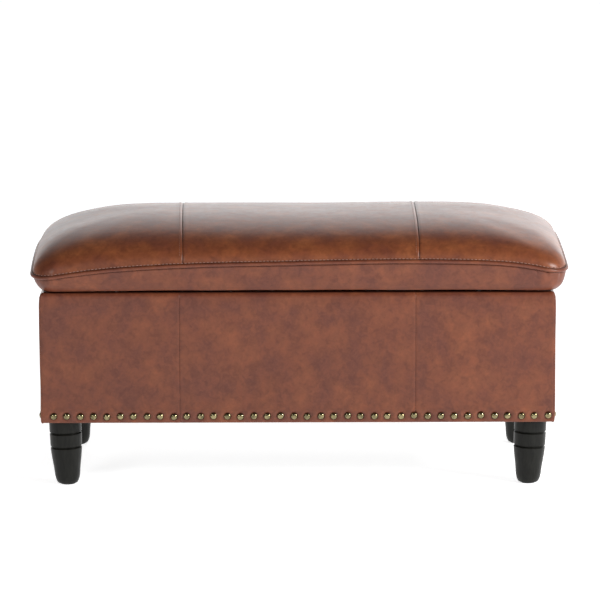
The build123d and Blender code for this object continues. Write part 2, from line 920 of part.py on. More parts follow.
def make_stay_arm(side, label):
    """Slotted arm that hangs from the lid bracket and slides on the stud."""
    dy, dz = stay_direction()
    reach = stud_far + arm_width / 2
    slot_start = stud_near - slot_end_play
    slot_end = stud_far + slot_stop_play
    face_x = arm_face_x if side > 0 else -arm_face_x - arm_t
    plane = Plane(origin=(face_x, pivot_y, pivot_z), x_dir=(0, dy, dz), z_dir=(1, 0, 0))
    with BuildPart() as arm:
        with BuildSketch(plane):
            with Locations((reach / 2, 0)):
                SlotCenterToCenter(reach, arm_width)
            with Locations(((slot_start + slot_end) / 2, 0)):
                SlotCenterToCenter(slot_end - slot_start, 2 * slot_half_width, mode=Mode.SUBTRACT)
            Circle(rivet_radius + running_clearance, mode=Mode.SUBTRACT)
        extrude(amount=arm_t)
        chamfer(arm.faces().sort_by(Axis.X)[0].outer_wire().edges(), arm_chamfer)
        chamfer(arm.faces().sort_by(Axis.X)[-1].outer_wire().edges(), arm_chamfer)
    finish(arm, label)


def make_stud_plates():
    """A plate on each side lining, with the shouldered stud that the arm slides on."""
    plate_face = lining_face_x - stud_plate_t
    head_outer = arm_face_x - stay_gap
    with BuildPart() as plates:
        for side in (-1, 1):
            with BuildSketch(Plane.YZ.offset(side * plate_face)):
                with Locations((stud_y, stud_z)):
                    RectangleRounded(stud_plate_width, stud_plate_height, stud_plate_corner_radius)
            extrude(amount=side * stud_plate_t)
            with BuildSketch(Plane.YZ.offset(side * (arm_face_x + arm_t + stay_gap))):
                with Locations((stud_y, stud_z)):
                    Circle(stud_shoulder_radius)
            extrude(amount=side * (plate_face - arm_face_x - arm_t - stay_gap))
            with BuildSketch(Plane.YZ.offset(side * head_outer)):
                with Locations((stud_y, stud_z)):
                    Circle(stud_radius)
            extrude(amount=side * (plate_face - head_outer))
            with BuildSketch(Plane.YZ.offset(side * (head_outer - stud_head_t))):
                with Locations((stud_y, stud_z)):
                    Circle(stud_head_radius)
            extrude(amount=side * stud_head_t)
            for y, z in stud_screw_points():
                with Locations(Location((side * plate_face, y, z), (0, -side * 90, 0))):
                    CounterSinkHole(
                        radius=screw_hole_radius,
                        counter_sink_radius=screw_head_radius + screw_hole_clearance,
                        depth=2 * stud_plate_t,
                    )
    finish(plates, "stay_stud_plates")


def make_lid_brackets():
    """Angle brackets under the lid that carry the arms' pivots."""
    tab_face = arm_face_x - arm_bracket_gap
    plate_bottom = lid_bottom - lid_lining_t - bracket_t
    with BuildPart() as brackets:
        for side in (-1, 1):
            middle = side * (bracket_inner_x + tab_face) / 2
            with BuildSketch(Plane.XY.offset(plate_bottom)):
                with Locations((middle, pivot_y)):
                    Rectangle(tab_face - bracket_inner_x, bracket_width)
            extrude(amount=bracket_t)
            with BuildSketch(Plane.YZ.offset(side * (tab_face - bracket_t))):
                with BuildLine():
                    Polyline(
                        (pivot_y - bracket_tab_radius, pivot_z),
                        (pivot_y - bracket_width / 2, plate_bottom + bracket_t),
                        (pivot_y + bracket_width / 2, plate_bottom + bracket_t),
                        (pivot_y + bracket_tab_radius, pivot_z),
                    )
                    ThreePointArc(
                        (pivot_y + bracket_tab_radius, pivot_z),
                        (pivot_y, pivot_z - bracket_tab_radius),
                        (pivot_y - bracket_tab_radius, pivot_z),
                    )
                make_face()
                with Locations((pivot_y, pivot_z)):
                    Circle(rivet_radius + running_clearance, mode=Mode.SUBTRACT)
            extrude(amount=side * bracket_t)
        for x, y in bracket_screw_points():
            with Locations(Location((x, y, plate_bottom), (180, 0, 0))):
                CounterSinkHole(
                    radius=screw_hole_radius,
                    counter_sink_radius=screw_head_radius + screw_hole_clearance,
                    depth=2 * bracket_t,
                )
    finish(brackets, "stay_lid_brackets")


def make_rivets():
    """Rivets that the arms turn on."""
    tab_inner = arm_face_x - arm_bracket_gap - bracket_t
    outer_head = arm_face_x + arm_t + stay_gap
    with BuildPart() as rivets:
        for side in (-1, 1):
            with BuildSketch(Plane.YZ.offset(side * tab_inner)):
                with Locations((pivot_y, pivot_z)):
                    Circle(rivet_radius)
            extrude(amount=side * (outer_head - tab_inner))
            for start, amount in ((tab_inner, -rivet_head_t), (outer_head, rivet_head_t)):
                with BuildSketch(Plane.YZ.offset(side * start)):
                    with Locations((pivot_y, pivot_z)):
                        Circle(rivet_head_radius)
                extrude(amount=side * amount)
    finish(rivets, "stay_rivets")


# ---- Make every piece ----

for wall_name in WALLS:
    make_panel(wall_name)
    make_padding(wall_name)
    make_wall_lining(wall_name)

make_front_covers()
finish(make_cover("rear"), "cover_rear")
finish(make_cover("left"), "cover_left_side")
finish(make_cover("right"), "cover_right_side")

make_base()
make_floor_lining()
make_dust_cover()
make_cleat(-1, "front")
make_cleat(1, "rear")

for side_x, side_y, corner in ((-1, -1, "front_left"), (1, -1, "front_right"),
                               (-1, 1, "rear_left"), (1, 1, "rear_right")):
    make_corner_block(side_x, side_y, corner)
    make_leg(side_x, side_y, corner)

make_glides()
make_leg_bolts()
make_t_nuts()

side_nail_start = -side_nail_pitch * (side_nail_count - 1) / 2
make_nails("front", front_nail_count, front_nail_start, front_nail_pitch, nail_wobble_phases[0])
make_nails("rear", front_nail_count, front_nail_start, front_nail_pitch, nail_wobble_phases[1])
make_nails("left", side_nail_count, side_nail_start, side_nail_pitch, nail_wobble_phases[2])
make_nails("right", side_nail_count, side_nail_start, side_nail_pitch, nail_wobble_phases[3])

make_lid_board()
make_lid_foam()
make_lid_covers()
make_lid_band()
make_piping()
make_lid_lining()
make_bumpers()

make_hinge_leaves("hinge_box_leaves", 0, rim_top, rim_top + hinge_leaf_t)
make_hinge_leaves("hinge_lid_leaves", 1, lid_bottom - hinge_leaf_t, lid_bottom - hinge_leaf_t)
make_hinge_pins()

box_screw_places = [Location((x, y, rim_top + hinge_leaf_t)) for x, y in hinge_screw_points()]
make_screws("hinge_box_screws", hinge_screw_length, box_screw_places)
lid_screw_z = lid_bottom - hinge_leaf_t
lid_screw_places = [Location((x, y, lid_screw_z), (180, 0, 0)) for x, y in hinge_screw_points()]
make_screws("hinge_lid_screws", hinge_screw_length, lid_screw_places)

make_stay_arm(-1, "stay_arm_left")
make_stay_arm(1, "stay_arm_right")
make_stud_plates()
make_lid_brackets()
make_rivets()

stud_screw_places = [
    Location((side * (lining_face_x - stud_plate_t), y, z), (0, -side * 90, 0))
    for side in (-1, 1)
    for y, z in stud_screw_points()
]
make_screws("stay_stud_screws", stay_screw_length, stud_screw_places)
bracket_screw_z = lid_bottom - lid_lining_t - bracket_t
bracket_screw_places = [
    Location((x, y, bracket_screw_z), (180, 0, 0)) for x, y in bracket_screw_points()
]
make_screws("stay_bracket_screws", stay_screw_length, bracket_screw_places)
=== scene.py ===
import json
from math import cos, exp, hypot, pi, radians, sin, sqrt

import bpy
from mathutils import Matrix, Vector, noise


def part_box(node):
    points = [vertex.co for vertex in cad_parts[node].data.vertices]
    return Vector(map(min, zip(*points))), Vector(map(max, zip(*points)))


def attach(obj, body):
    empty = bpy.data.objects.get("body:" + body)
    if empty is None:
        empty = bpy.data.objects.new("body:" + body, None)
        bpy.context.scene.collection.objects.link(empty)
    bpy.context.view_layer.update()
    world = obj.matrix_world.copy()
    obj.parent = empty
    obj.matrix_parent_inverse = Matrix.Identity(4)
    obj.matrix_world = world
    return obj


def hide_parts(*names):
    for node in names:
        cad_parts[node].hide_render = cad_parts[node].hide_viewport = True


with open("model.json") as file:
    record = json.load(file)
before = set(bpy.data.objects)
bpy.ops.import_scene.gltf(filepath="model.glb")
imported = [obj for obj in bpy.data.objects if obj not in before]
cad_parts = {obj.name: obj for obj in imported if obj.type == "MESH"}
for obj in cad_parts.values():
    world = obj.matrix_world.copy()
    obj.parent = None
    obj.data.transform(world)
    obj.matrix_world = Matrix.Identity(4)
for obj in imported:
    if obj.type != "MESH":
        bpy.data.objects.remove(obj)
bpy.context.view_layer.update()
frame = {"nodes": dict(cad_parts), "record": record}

# ---- Sizes: what the frame gives, then what the leather work adds, in metres ----

MM = 0.001
record_nodes = frame["nodes"]

wall_low, wall_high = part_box("cover_rear")
box_half_x = wall_high.x
box_half_y = wall_high.y
box_bottom = wall_low.z
rim_top = wall_high.z
wall_t = wall_high.y - wall_low.y
seam_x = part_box("cover_front_centre")[1].x

band_low, band_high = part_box("lid_band")
face_half_x = band_high.x
face_half_y = band_high.y
lid_bottom = band_low.z
pipe_low, pipe_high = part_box("lid_piping")
pipe_radius = (pipe_high.z - pipe_low.z) / 2
crown_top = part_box("lid_cover_centre")[1].z

leather_t = 1.2 * MM

# The box's leather
rim_radius = 9 * MM
rim_inner_radius = 3 * MM
hem_radius = 2.5 * MM
turn_under = 18 * MM
turn_down = 27 * MM
wall_corner_radius = 2.2 * MM
corner_slack = 0.2 * MM  # keeps the leather's corner a little rounder than that
deepest_press = 0.9 * MM  # the leather never goes further in: the padding is behind it
nail_puff = 1.1 * MM
nail_puff_z = 9 * MM
nail_puff_reach = 12 * MM
nail_press = 0.7 * MM
nail_press_radius = 6.5 * MM
nail_press_edge = 4.5 * MM
nail_zone = 24 * MM
nail_corner_fade = 18 * MM  # the puffs die out this near a corner
seam_reach = 20 * MM
face_top_fade = 25 * MM  # the face's waves die out towards the rim and the hem
face_foot_fade = 12 * MM
wall_stand = 1.0 * MM  # the padding holds the leather this far off the measured face
wall_bend = 40 * MM  # length at a wall's ends over which the leather follows the corner

# Sewn seams: a sharp line, then a soft roll beside it
seam_line_depth = 1.7 * MM
seam_line_width = 1.0 * MM
seam_roll_height = 0.5 * MM
seam_roll_place = 5.0 * MM
seam_roll_width = 3.0 * MM
wall_seam_share = 0.38  # the box's seams lie flatter than the crown's

# The line of the piping
face_corner_radius = 42 * MM
pipe_mid_z = pipe_low.z + pipe_radius + 6.9 * MM  # the piping's height away from the corners
pipe_dip = 24.6 * MM  # how far it dips towards each corner
pipe_dip_start = 30 * MM
pipe_dip_reach = {-1: 122 * MM, 0: 80 * MM, 1: 60 * MM}  # left half, the two ends, right half
pipe_tilt = 0.0105  # the lid's filling sits a little higher at its right end
pipe_out = 0.55 * pipe_radius  # its middle, outside the lid's edge
pipe_half_width = 0.94 * pipe_radius
pipe_half_height = 1.14 * pipe_radius
pipe_sides = 16
pipe_bunch = 0.22  # how much wider it is at the corners
pipe_bunch_reach = 40 * MM
ring_finest = 1.3 * MM  # spacing of the points along the lid's edge, from its corners
ring_widest = 3.6 * MM
ring_growth = 1.02

# The crown
crown_foot = 1.0 * MM  # height of its edge above the piping's middle
crown_drop = 4.0 * MM  # the crown's leather below the top of the measured box
crown_end_power = 2.0
crown_depth_power = 2.4
crown_swell = 0.7 * MM  # it dips this much at its middle and rises as much towards its seams
crown_seam_start = 2 * MM  # how far below the piping's line the crown's seams begin
crown_seam_rise = 8 * MM  # the height over which they reach their full depth
crown_turn = 0.80  # share of the way out where folds begin to point outwards, not up
crown_middle = 0.05  # share of the way out that counts as the crown's middle line
lid_shift = {-1: 2.6 * MM, 1: 6.0 * MM}  # the filling has pushed the lid's ends towards +X
lid_shift_waist = 0.25  # share of it halfway along an end, where the ends pull in
crown_seams = {-1: -208 * MM, 1: 220 * MM}
left_seam_skew = 11 * MM  # the left crown seam runs out a little towards the back
piping_stitch_rise = 4.0 * MM
seam_stitch_offset = 5.5 * MM
piping_stitch = (6.8 * MM, 4.3 * MM, 0.3 * MM)  # pitch, length and lift
seam_stitch = (5.2 * MM, 3.4 * MM, 0.4 * MM)
piping_thread_radius = 0.5 * MM
seam_thread_radius = 0.34 * MM
cushion_clear = 2.6 * MM  # between the foam's top and the crown
cushion_inset = 2.4 * cushion_clear  # between its sides and the crown's edge
cushion_foot = 7.0 * MM  # how much further its bottom is drawn in
pucker_size = 11 * MM
pucker_fade = 13 * MM
pucker_depth = 0.3 * MM  # away from the corners
pucker_corner_reach = 100 * MM
crown_pucker = 1.2 * MM  # added to it at the corners, above the piping
band_pucker = 1.6 * MM  # and below the piping

# The boxing band
band_start = 0.3 * pipe_radius  # its top edge, below the piping's middle
band_out = 0.8 * MM
band_curl = 8.4 * MM
band_curl_power = 3.3
band_slant = 9.4 * MM
band_tuck = 4.8 * MM  # how far in it starts, behind the piping
band_tuck_depth = 2.1 * MM
band_fullness = 3.6 * MM  # more of it stands out at the right corners
band_full_power = 1.6
band_full_out = 1.8 * MM
band_bottom = 1.4 * MM
band_dip = {-1: 3.2 * MM, 1: 1.8 * MM}  # how far its bottom drops at the left and right corners
band_corner_reach = 120 * MM
band_hem_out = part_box("lid_lining")[1].x - face_half_x - 1.5 * MM  # its hem ends under the lining
gather_depth = 2.4 * MM
gather_pitch = 17 * MM
gather_reach = 95 * MM
gather_fade = 9 * MM
left_gather_share = 0.6

# Unevenness of the soft parts, as size, amount and seed
wall_waves = (120 * MM, 1.1 * MM, 1.0)
wall_ripples = (35 * MM, 0.25 * MM, 4.0)
pipe_waves = (160 * MM, 0.8 * MM, 3.0)
pipe_lumps = (20 * MM, 0.18 * MM, 2.0)
crown_waves = (190 * MM, 1.4 * MM, 7.0)
band_waves = (90 * MM, 1.2 * MM, 5.0)
band_hem_waves = (130 * MM, 0.9 * MM, 9.0)
gather_drift = (30 * MM, 9 * MM, 13.0)

# Spacing of the points, as first, last and widest step
wall_columns = (0.5 * MM, 0.5 * MM, 4.2 * MM)
crown_rows = (0.12 * MM, 0.12 * MM, 6 * MM)
crown_end_steps = (0.0025, 0.0006, 0.022)  # shares of a panel's width
crown_middle_steps = (0.0016, 0.0016, 0.0145)
cushion_rows = (0.004, 0.004, 0.05)  # in halves of the foam's depth or length
cushion_columns = (0.002, 0.002, 0.025)
seam_line_steps = (1 * MM, 1 * MM, 5 * MM)

# Numbers of steps up the section of a wall's leather
hem_steps = 12
nail_rows = 12
rim_steps = 9
lip_steps = 6


def soft(point, size, amount, seed=0.0):
    """Smooth noise of about the given feature size, the same on every run."""
    x, y, z = point
    return amount * noise.noise(Vector((x / size + seed, y / size - 2 * seed, z / size + 3 * seed)))


def smooth_step(x):
    x = min(max(x, 0.0), 1.0)
    return x * x * (3 - 2 * x)


def lid_push(x, y):
    """How far the lid's filling has moved it along X here, most at the corners."""
    waist = lid_shift_waist + (1 - lid_shift_waist) * (y / face_half_y) ** 2
    return lid_shift[1 if x > 0 else -1] * (x / face_half_x) ** 2 * waist


def graded(length, first, last, widest, growth=1.35):
    """Positions from 0 to length whose steps start fine, widen, and end fine."""
    head, tail = [0.0], [0.0]
    head_step, tail_step = first, last
    while head[-1] + tail[-1] < length:
        if head_step <= tail_step:
            head.append(head[-1] + head_step)
            head_step = min(head_step * growth, widest)
        else:
            tail.append(tail[-1] + tail_step)
            tail_step = min(tail_step * growth, widest)
    scale = length / (head[-1] + tail[-1])
    return [p * scale for p in head] + [length - p * scale for p in reversed(tail[:-1])]


# ---- Mesh helpers ----


def add_piece(name, points, faces, body, material, replaced=(), shell=0.0):
    """A smooth mesh object that rides on a body; shell gives a leather its thickness, inwards."""
    if body == "lid":
        points = [(x + lid_push(x, y), y, z) for x, y, z in points]
    mesh = bpy.data.meshes.new(name)
    mesh.from_pydata(points, [], faces)
    mesh.validate()
    mesh.polygons.foreach_set("use_smooth", [True] * len(mesh.polygons))
    piece = bpy.data.objects.new(name, mesh)
    bpy.context.scene.collection.objects.link(piece)
    piece.data.materials.append(material)
    if shell:
        thickness = piece.modifiers.new("thickness", "SOLIDIFY")
        thickness.thickness = shell
        thickness.offset = -1
    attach(piece, body)
    if replaced:
        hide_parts(*replaced)
    return piece


def grid_faces(rows, columns, wrap=False, flip=False):
    """Quads of a grid of points stored row by row; wrap joins the last column to the first."""
    faces = []
    for r in range(rows - 1):
        for c in range(columns if wrap else columns - 1):
            d = (c + 1) % columns
            quad = (r * columns + c, r * columns + d, (r + 1) * columns + d, (r + 1) * columns + c)
            faces.append(quad[::-1] if flip else quad)
    return faces


def ring(half_x, half_y, radius, finest, widest):
    """Points round a round-cornered rectangle, from its right front corner: (x, y, outwards)."""
    arc_steps = int(radius * pi / 2 / finest) + 1
    points = []
    corners = ((-90, 1, -1, half_y), (0, 1, 1, half_x), (90, -1, 1, half_y), (180, -1, -1, half_x))
    for start, sx, sy, side in corners:
        cx, cy = sx * (half_x - radius), sy * (half_y - radius)
        for i in range(arc_steps + 1):
            a = radians(start + 90 * i / arc_steps)
            points.append((cx + radius * cos(a), cy + radius * sin(a), (cos(a), sin(a))))
        x, y, (nx, ny) = points[-1]
        for step in graded(2 * (side - radius), finest, finest, widest, ring_growth)[1:-1]:
            points.append((x - ny * step, y + nx * step, (nx, ny)))
    return points


def capsule_row(spots, radius):
    """Thread stitches: short round-ended rods from one point to another, each as (start, end, up)."""
    sides = 6
    rings = ((-1.0, 0.35), (-0.82, 0.9), (0.0, 1.0), (0.82, 0.9), (1.0, 0.35))
    points, faces = [], []
    for start, end, up in spots:
        middle = (start + end) / 2
        half = (end - start) / 2
        along = half.normalized()
        across = along.cross(up).normalized()
        rise = across.cross(along)
        base = len(points)
        for place, width in rings:
            for k in range(sides):
                a = 2 * pi * k / sides
                out = across * cos(a) + rise * sin(a)
                points.append(middle + half * place + out * (radius * width))
        for quad in grid_faces(len(rings), sides, wrap=True):
            faces.append(tuple(base + v for v in quad))
        faces.append(tuple(base + k for k in reversed(range(sides))))
        faces.append(tuple(base + (len(rings) - 1) * sides + k for k in range(sides)))
    return points, faces


# ---- Materials ----

# Painted shade: the leather's colour is darkened in seams, creases and gaps, where shade would fall
painted_shade_samples = 6
painted_shade_reach = 7 * MM  # how near another surface has to be for the painted shade to darken a fold
painted_shade_colour = (0.16, 0.11, 0.09)


def map_range(tree, source, limits):
    """A Map Range node on a socket; limits gives the inputs that don't stay at 0 or 1."""
    node = tree.nodes.new("ShaderNodeMapRange")
    tree.links.new(source, node.inputs["Value"])
    for name, value in limits.items():
        node.inputs[name].default_value = value
    return node.outputs["Result"]


class Shader:
    """A Principled material and short ways to add nodes to it."""

    def __init__(self, name, roughness, **inputs):
        self.material = bpy.data.materials.new(name)
        self.material.use_nodes = True
        self.tree = self.material.node_tree
        self.bsdf = self.tree.nodes["Principled BSDF"]
        self.bsdf.inputs["Roughness"].default_value = roughness
        for key, value in inputs.items():
            self.bsdf.inputs[key.replace("_", " ")].default_value = value
        self.coords = self.tree.nodes.new("ShaderNodeTexCoord").outputs["Object"]

    def link(self, source, target):
        self.tree.links.new(source, target)

    def stretched(self, x, y, z):
        """Object coordinates scaled along each axis."""
        mapping = self.tree.nodes.new("ShaderNodeMapping")
        mapping.inputs["Scale"].default_value = (x, y, z)
        self.link(self.coords, mapping.inputs["Vector"])
        return mapping.outputs["Vector"]

    def noise(self, scale, detail=4.0, distortion=0.0, vector=None):
        node = self.tree.nodes.new("ShaderNodeTexNoise")
        node.inputs["Scale"].default_value = scale
        node.inputs["Detail"].default_value = detail
        node.inputs["Distortion"].default_value = distortion
        self.link(vector or self.coords, node.inputs["Vector"])
        return node.outputs["Fac"]

    def pebbles(self, scale):
        """Soft rounded cells."""
        node = self.tree.nodes.new("ShaderNodeTexVoronoi")
        node.feature = "SMOOTH_F1"
        node.inputs["Scale"].default_value = scale
        self.link(self.coords, node.inputs["Vector"])
        return node.outputs["Distance"]

    def folds(self):
        """Painted shade: white, going dark where another surface is near, in a seam, a crease or a gap,
        where shade would fall.
        """
        node = self.tree.nodes.new("ShaderNodeAmbientOcclusion")
        node.samples = painted_shade_samples
        node.inputs["Distance"].default_value = painted_shade_reach
        return self.ramp(node.outputs["AO"], ((0.25, painted_shade_colour), (0.82, (1.0, 1.0, 1.0))))

    def ramp(self, value, stops):
        node = self.tree.nodes.new("ShaderNodeValToRGB")
        ramp = node.color_ramp
        while len(ramp.elements) < len(stops):
            ramp.elements.new(0.5)
        for element, (place, colour) in zip(ramp.elements, stops):
            element.position = place
            element.color = (*colour, 1.0)
        self.link(value, node.inputs["Fac"])
        return node.outputs["Color"]

    def multiply(self, amount, first, second):
        """One colour times another; amount below 1 weakens the second."""
        node = self.tree.nodes.new("ShaderNodeMix")
        node.data_type = "RGBA"
        node.blend_type = "MULTIPLY"
        node.inputs["Factor"].default_value = amount
        self.link(first, node.inputs["A"])
        self.link(second, node.inputs["B"])
        return node.outputs["Result"]

    def math(self, operation, first, second):
        node = self.tree.nodes.new("ShaderNodeMath")
        node.operation = operation
        for socket, value in zip(node.inputs, (first, second)):
            if isinstance(value, float):
                socket.default_value = value
            else:
                self.link(value, socket)
        return node.outputs["Value"]

    def spread(self, value, low, high):
        """Maps a 0 to 1 value to a range."""
        return map_range(self.tree, value, {"To Min": low, "To Max": high})

    def colour(self, socket):
        self.link(socket, self.bsdf.inputs["Base Color"])

    def rough(self, socket):
        self.link(socket, self.bsdf.inputs["Roughness"])

    def bump(self, layers):
        """Stacks bump layers, each (height, strength, distance in metres)."""
        normal = None
        for height, strength, distance in layers:
            node = self.tree.nodes.new("ShaderNodeBump")
            node.inputs["Strength"].default_value = strength
            node.inputs["Distance"].default_value = distance
            self.link(height, node.inputs["Height"])
            if normal is not None:
                self.link(normal, node.inputs["Normal"])
            normal = node.outputs["Normal"]
        self.link(normal, self.bsdf.inputs["Normal"])


def leather_material(name, dark, middle, light, roughness, shine=0.32):
    """Mottled pull-up leather: cloudy colour, a fine pebble grain, shine that varies, and painted shade
    in its seams and creases.
    """
    shader = Shader(name, roughness, Specular_IOR_Level=shine)
    clouds = shader.noise(24.0, 4.0, 0.15, shader.stretched(1.0, 1.0, 0.8))
    patches = shader.noise(84.0, 8.0, 0.7)
    specks = shader.noise(260.0, 3.0)
    base = shader.ramp(clouds, ((0.34, dark), (0.52, middle), (0.72, light)))
    tones = ((0.32, (0.84, 0.82, 0.82)), (0.50, (1.0, 1.0, 1.0)), (0.68, (1.16, 1.13, 1.09)))
    detail = shader.ramp(patches, tones)
    mottled = shader.multiply(1.0, base, detail)
    fleck = shader.ramp(specks, ((0.30, (0.88, 0.87, 0.86)), (0.65, (1.05, 1.05, 1.05))))
    flecked = shader.multiply(0.7, mottled, fleck)
    # The colour is darkened by painted shade wherever another surface is near
    shader.colour(shader.multiply(1.0, flecked, shader.folds()))
    shader.rough(shader.spread(patches, roughness - 0.06, roughness + 0.10))
    pebble = shader.pebbles(620.0)
    creases = shader.noise(1500.0, 3.0, 0.4)
    waves = shader.noise(34.0, 2.0, 0.8)
    shader.bump(((waves, 0.22, 0.0012), (pebble, 0.16, 0.00035), (creases, 0.10, 0.0002)))
    return shader.material


def thread_material(name, dark, light):
    """Twisted sewing thread."""
    shader = Shader(name, 0.6)
    twist = shader.noise(1800.0, 2.0, 1.0)
    shader.colour(shader.ramp(twist, ((0.3, dark), (0.7, light))))
    shader.bump(((twist, 0.4, 0.0002),))
    return shader.material


def wood_material(name, dark, light, roughness, gloss=0.0):
    """Long-grained wood, stained or painted."""
    shader = Shader(name, roughness, Coat_Weight=gloss, Coat_Roughness=0.12, Specular_IOR_Level=0.08)
    grain = shader.noise(9.0, 8.0, 1.6, shader.stretched(14.0, 14.0, 2.2))
    pores = shader.noise(60.0, 4.0, 0.0, shader.stretched(24.0, 24.0, 1.6))
    shader.colour(shader.ramp(grain, ((0.35, dark), (0.65, light))))
    shader.rough(shader.spread(pores, roughness - 0.06, roughness + 0.12))
    shader.bump(((grain, 0.12, 0.0006), (pores, 0.10, 0.0003)))
    return shader.material


def sheet_wood_material(name, dark, light):
    """Plywood seen from its face."""
    shader = Shader(name, 0.65)
    grain = shader.noise(6.0, 8.0, 2.2, shader.stretched(1.4, 14.0, 14.0))
    shader.colour(shader.ramp(grain, ((0.3, dark), (0.7, light))))
    shader.rough(shader.spread(grain, 0.55, 0.75))
    shader.bump(((grain, 0.2, 0.0004),))
    return shader.material


def metal_material(name, dark, light, roughness, lacquer=0.0):
    """Metal with tarnish in patches and fine scratches."""
    shader = Shader(name, roughness, Metallic=1.0, Coat_Weight=lacquer, Coat_Roughness=0.10)
    tarnish = shader.noise(110.0, 5.0, 0.8)
    scratches = shader.noise(240.0, 3.0, 0.0, shader.stretched(1.0, 7.0, 1.0))
    shader.colour(shader.ramp(tarnish, ((0.34, dark), (0.66, light))))
    shader.rough(shader.spread(scratches, roughness - 0.07, roughness + 0.10))
    shader.bump(((scratches, 0.10, 0.0002),))
    return shader.material


def cloth_material(name, dark, light, weave):
    """Matte non-woven or woven cloth."""
    shader = Shader(name, 0.9, Sheen_Weight=0.25, Sheen_Roughness=0.5)
    blotch = shader.noise(30.0, 4.0)
    warp = shader.noise(weave, 2.0, 0.0, shader.stretched(1.0, 0.25, 1.0))
    weft = shader.noise(weave, 2.0, 0.0, shader.stretched(0.25, 1.0, 0.25))
    threads = shader.math("MAXIMUM", warp, weft)
    shade = shader.math("MULTIPLY_ADD", threads, 0.6)
    shader.colour(shader.ramp(shader.math("MULTIPLY", shade, blotch), ((0.2, dark), (0.6, light))))
    shader.rough(shader.spread(blotch, 0.82, 0.97))
    shader.bump(((threads, 0.5, 0.0005),))
    return shader.material


def plain_material(name, dark, light, roughness, grain_scale):
    """Moulded plastic, rubber or cut foam with a fine texture."""
    shader = Shader(name, roughness)
    grain = shader.noise(grain_scale, 5.0)
    shader.colour(shader.ramp(grain, ((0.3, dark), (0.7, light))))
    shader.rough(shader.spread(grain, roughness - 0.08, roughness + 0.08))
    shader.bump(((grain, 0.3, 0.0003),))
    return shader.material


leather = leather_material(
    "saddle_leather", (0.124, 0.037, 0.022), (0.150, 0.0440, 0.022), (0.190, 0.058, 0.026), 0.33
)
# The crown's leather is the box's hide painted lighter and redder, standing in for the light that falls
# on the lid's top
lit_crown_leather = leather_material(
    "lit_crown_leather", (0.143, 0.042, 0.022), (0.180, 0.0530, 0.022), (0.238, 0.075, 0.028), 0.33, 0.295
)
piping_thread = thread_material("piping_thread", (0.26, 0.115, 0.085), (0.50, 0.29, 0.22))
seam_thread = thread_material("seam_thread", (0.16, 0.055, 0.035), (0.36, 0.17, 0.12))
materials = {
    "brown_leather": leather,
    "black_leg": wood_material(
        "black_stained_wood", (0.006, 0.006, 0.005), (0.012, 0.012, 0.010), 0.34, 0.16
    ),
    "antique_brass": metal_material("antique_brass", (0.11, 0.090, 0.036), (0.30, 0.25, 0.12), 0.16, 0.7),
    "plywood": sheet_wood_material("plywood", (0.42, 0.26, 0.13), (0.62, 0.44, 0.26)),
    "foam": plain_material("cut_foam", (0.62, 0.58, 0.36), (0.80, 0.76, 0.55), 0.95, 900.0),
    "lining_cloth": cloth_material("lining_cloth", (0.012, 0.010, 0.009), (0.045, 0.036, 0.030), 1500.0),
    "dust_cloth": cloth_material("dust_cloth", (0.008, 0.008, 0.008), (0.030, 0.030, 0.030), 1200.0),
    "zinc_steel": metal_material("zinc_steel", (0.42, 0.42, 0.40), (0.66, 0.66, 0.63), 0.30),
    "stay_steel": metal_material("stay_steel", (0.36, 0.36, 0.35), (0.58, 0.58, 0.56), 0.34),
    "glide_plastic": plain_material(
        "glide_plastic", (0.012, 0.012, 0.012), (0.030, 0.030, 0.030), 0.5, 700.0
    ),
    "bumper_rubber": plain_material(
        "bumper_rubber", (0.006, 0.005, 0.005), (0.014, 0.011, 0.010), 0.8, 800.0
    ),
}
for subpart in frame["record"]["subparts"]:
    node = record_nodes[subpart["node"]]
    node.data.materials.clear()
    node.data.materials.append(materials[subpart["material_slot"]])


# ---- Lid: piping line, crown, band, piping, stitches ----


def pipe_z(x, y):
    """Height of the piping at a point on the lid's edge: it dips towards each corner."""
    from_end, from_face = max(face_half_x - abs(x), 0), max(face_half_y - abs(y), 0)
    along = from_end + from_face
    side = pipe_dip_reach[1 if x > 0 else -1]
    reach = (side * from_end + pipe_dip_reach[0] * from_face) / along if along else side
    near = (hypot(along, pipe_dip_start) - pipe_dip_start) / reach
    return pipe_mid_z + pipe_tilt * x - pipe_dip * exp(-near) + soft((x, y, 0), *pipe_waves)


def edge_share(x, y):
    """0 on the crown's middle line, 1 at its edge, for a round-cornered plan."""
    qx = max(abs(x) - (face_half_x - face_half_y), 0.0)
    qy = abs(y)
    k = face_half_y - face_corner_radius
    flat = max(qx, qy) / face_half_y
    if min(qx, qy) <= k * flat:
        return flat
    total, squares = qx + qy, qx * qx + qy * qy
    a = 2 * k * k - face_corner_radius**2
    return (k * total - sqrt(max(k * k * total * total - a * squares, 0.0))) / a


def crown_share(x, y):
    """Like edge_share, but the end's slope and the front's slope run softly into each other."""
    share = min(edge_share(x, y), 1.0)
    qx = max(abs(x) - (face_half_x - face_half_y), 0.0) / face_half_y
    qy = abs(y) / face_half_y
    soft_share = (qx**5 + qy**5) ** 0.2
    return min(share + (soft_share - share) * (1 - share**4), 1.0)


def edge_point(x, y):
    """The point of the lid's edge that the crown runs out to from here."""
    share = max(edge_share(x, y), 1e-6)
    straight = face_half_x - face_half_y
    middle = min(max(x, -straight), straight)
    return middle + (x - middle) / share, y / share


